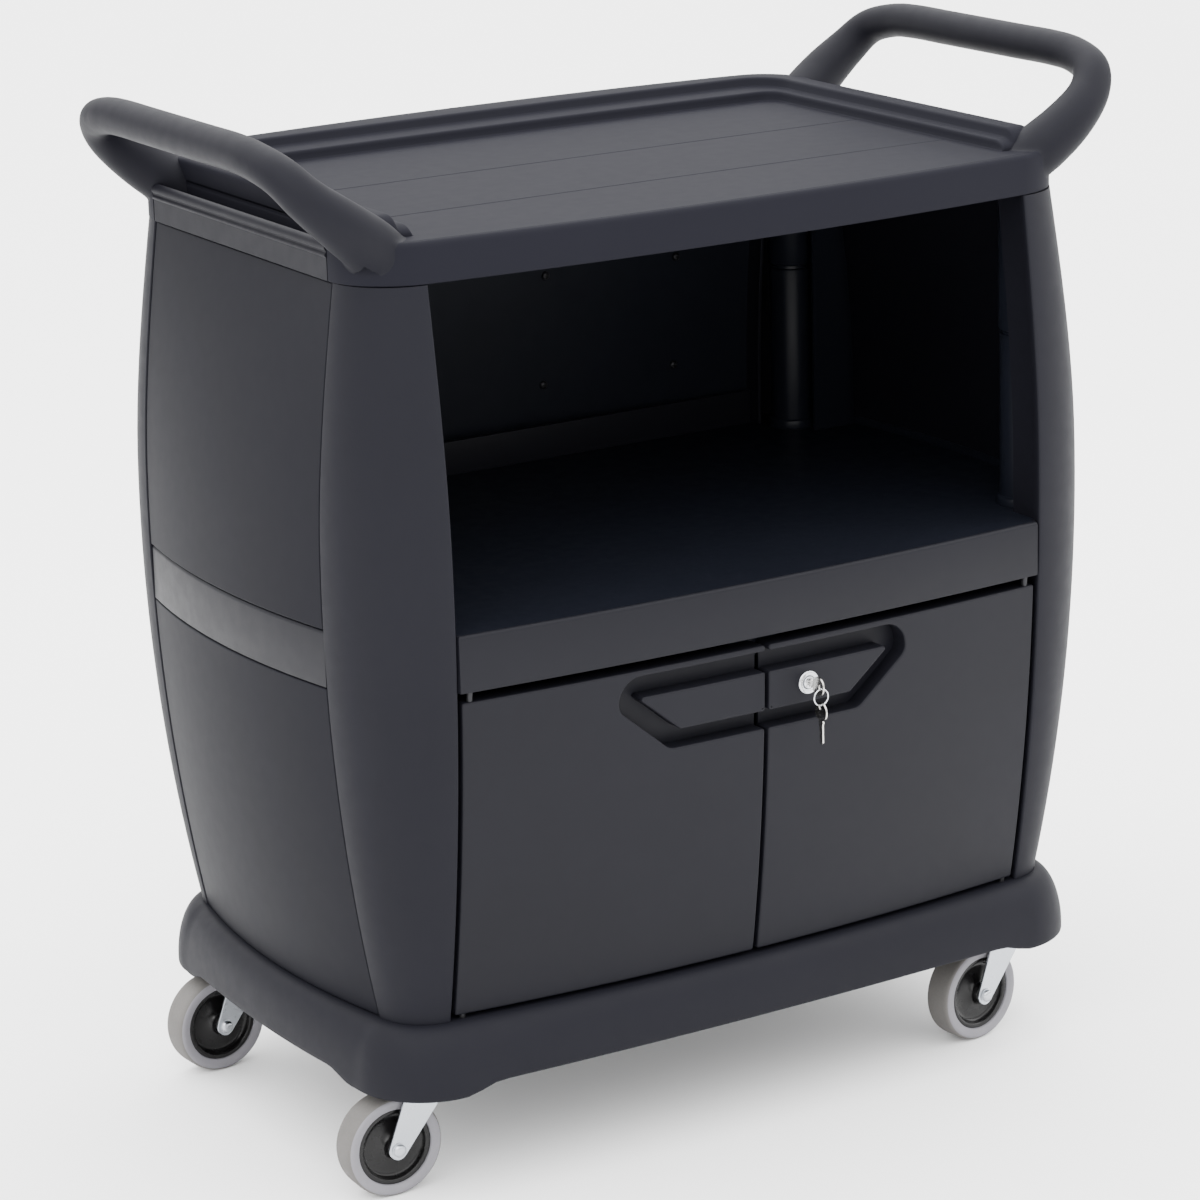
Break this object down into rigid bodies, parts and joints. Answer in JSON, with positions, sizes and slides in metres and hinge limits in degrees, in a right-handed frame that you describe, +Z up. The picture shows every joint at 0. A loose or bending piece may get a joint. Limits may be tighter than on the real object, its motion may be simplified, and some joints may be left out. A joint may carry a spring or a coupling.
{
  "type": "housekeeping cart",
  "caption": "Moulded plastic service cart with a rimmed top deck, end push handles, an open upper shelf, a lockable double-door cabinet and swivel casters.",
  "frame": {"origin": "on the floor, under the middle of the cart's outline", "axes": "+X along the cart towards the right-hand handle, -Y out of the doors, +Z up"},
  "size_m": [0.9482, 0.6002, 1.023],
  "materials": {
    "body_plastic": "textured matte charcoal",
    "panel_plastic": "satin charcoal",
    "door_plastic": "textured matte dark charcoal",
    "inner_plastic": "matte black",
    "zinc_steel": "bright zinc plate",
    "lock_chrome": "polished chrome plate",
    "tyre_rubber": "matte non-marking grey"
  },
  "bodies": {
    "root": {"base_tray": "body_plastic", "middle_shelf": "body_plastic", "top_deck": "body_plastic", "end_apron_left": "body_plastic", "end_apron_right": "body_plastic", "handle_left": "body_plastic", "handle_right": "body_plastic", "post_front_left": "body_plastic", "post_front_right": "body_plastic", "post_rear_left": "body_plastic", "post_rear_right": "body_plastic", "upright_front_left": "inner_plastic", "upright_front_right": "inner_plastic", "upright_rear_left": "inner_plastic", "upright_rear_right": "inner_plastic", "lower_uprights": "inner_plastic", "upper_end_panel_left": "panel_plastic", "upper_end_panel_right": "panel_plastic", "lower_end_panel_left": "panel_plastic", "lower_end_panel_right": "panel_plastic", "upper_back_panel": "inner_plastic", "lower_back_panel": "inner_plastic", "panel_screws": "zinc_steel", "hinge_pins_left": "zinc_steel", "hinge_pins_right": "zinc_steel", "door_catch": "inner_plastic", "caster_plate_front_left": "zinc_steel", "caster_plate_front_right": "zinc_steel", "caster_plate_rear_left": "zinc_steel", "caster_plate_rear_right": "zinc_steel", "caster_bolts": "zinc_steel"},
    "left_door": {"door_left": "door_plastic", "strike_left": "zinc_steel"},
    "right_door": {"door_right": "door_plastic", "strike_right": "zinc_steel", "lock_body": "lock_chrome", "lock_nut": "lock_chrome"},
    "lock_barrel": {"lock_plug": "lock_chrome", "lock_cam": "lock_chrome", "door_key": "lock_chrome"},
    "keys": {"key_ring": "lock_chrome", "spare_key": "lock_chrome"},
    "swivel_front_left": {"fork_front_left": "zinc_steel", "axle_front_left": "zinc_steel"},
    "wheel_front_left": {"hub_front_left": "inner_plastic", "tyre_front_left": "tyre_rubber"},
    "swivel_front_right": {"fork_front_right": "zinc_steel", "axle_front_right": "zinc_steel"},
    "wheel_front_right": {"hub_front_right": "inner_plastic", "tyre_front_right": "tyre_rubber"},
    "swivel_rear_left": {"fork_rear_left": "zinc_steel", "axle_rear_left": "zinc_steel"},
    "wheel_rear_left": {"hub_rear_left": "inner_plastic", "tyre_rear_left": "tyre_rubber"},
    "swivel_rear_right": {"fork_rear_right": "zinc_steel", "axle_rear_right": "zinc_steel"},
    "wheel_rear_right": {"hub_rear_right": "inner_plastic", "tyre_rear_right": "tyre_rubber"}
  },
  "joints": [
    {"name": "left_door_hinge", "type": "hinge", "parent": "root", "child": "left_door", "pos_m": [-0.316, -0.23072, 0.1825], "axis": [0, -0.1145, 0.9934], "range_deg": [-100, 0]},
    {"name": "right_door_hinge", "type": "hinge", "parent": "root", "child": "right_door", "pos_m": [0.316, -0.23072, 0.1825], "axis": [0, -0.1145, 0.9934], "range_deg": [0, 100]},
    {"name": "lock_turn", "type": "hinge", "parent": "right_door", "child": "lock_barrel", "pos_m": [0.047, -0.28233, 0.455], "axis": [0, 1, 0], "range_deg": [0, 90]},
    {"name": "key_ring_swing", "type": "hinge", "parent": "lock_barrel", "child": "keys", "pos_m": [0.047, -0.30433, 0.455], "axis": [1, 0, 0], "range_deg": [-70, 2]},
    {"name": "swivel_turn_front_left", "type": "hinge", "parent": "root", "child": "swivel_front_left", "pos_m": [-0.341, -0.189, 0.1], "axis": [0, 0, 1], "continuous": true},
    {"name": "wheel_spin_front_left", "type": "hinge", "parent": "swivel_front_left", "child": "wheel_front_left", "pos_m": [-0.37798, -0.18771, 0.05], "axis": [0.0349, 0.9994, 0], "continuous": true},
    {"name": "swivel_turn_front_right", "type": "hinge", "parent": "root", "child": "swivel_front_right", "pos_m": [0.341, -0.189, 0.1], "axis": [0, 0, 1], "continuous": true},
    {"name": "wheel_spin_front_right", "type": "hinge", "parent": "swivel_front_right", "child": "wheel_front_right", "pos_m": [0.30436, -0.19415, 0.05], "axis": [-0.1392, 0.9903, 0], "continuous": true},
    {"name": "swivel_turn_rear_left", "type": "hinge", "parent": "root", "child": "swivel_rear_left", "pos_m": [-0.341, 0.189, 0.1], "axis": [0, 0, 1], "continuous": true},
    {"name": "wheel_spin_rear_left", "type": "hinge", "parent": "swivel_rear_left", "child": "wheel_rear_left", "pos_m": [-0.37791, 0.18642, 0.05], "axis": [-0.0698, 0.9976, 0], "continuous": true},
    {"name": "swivel_turn_rear_right", "type": "hinge", "parent": "root", "child": "swivel_rear_right", "pos_m": [0.341, 0.189, 0.1], "axis": [0, 0, 1], "continuous": true},
    {"name": "wheel_spin_rear_right", "type": "hinge", "parent": "swivel_rear_right", "child": "wheel_rear_right", "pos_m": [0.30414, 0.19223, 0.05], "axis": [0.0872, 0.9962, 0], "continuous": true}
  ]
}
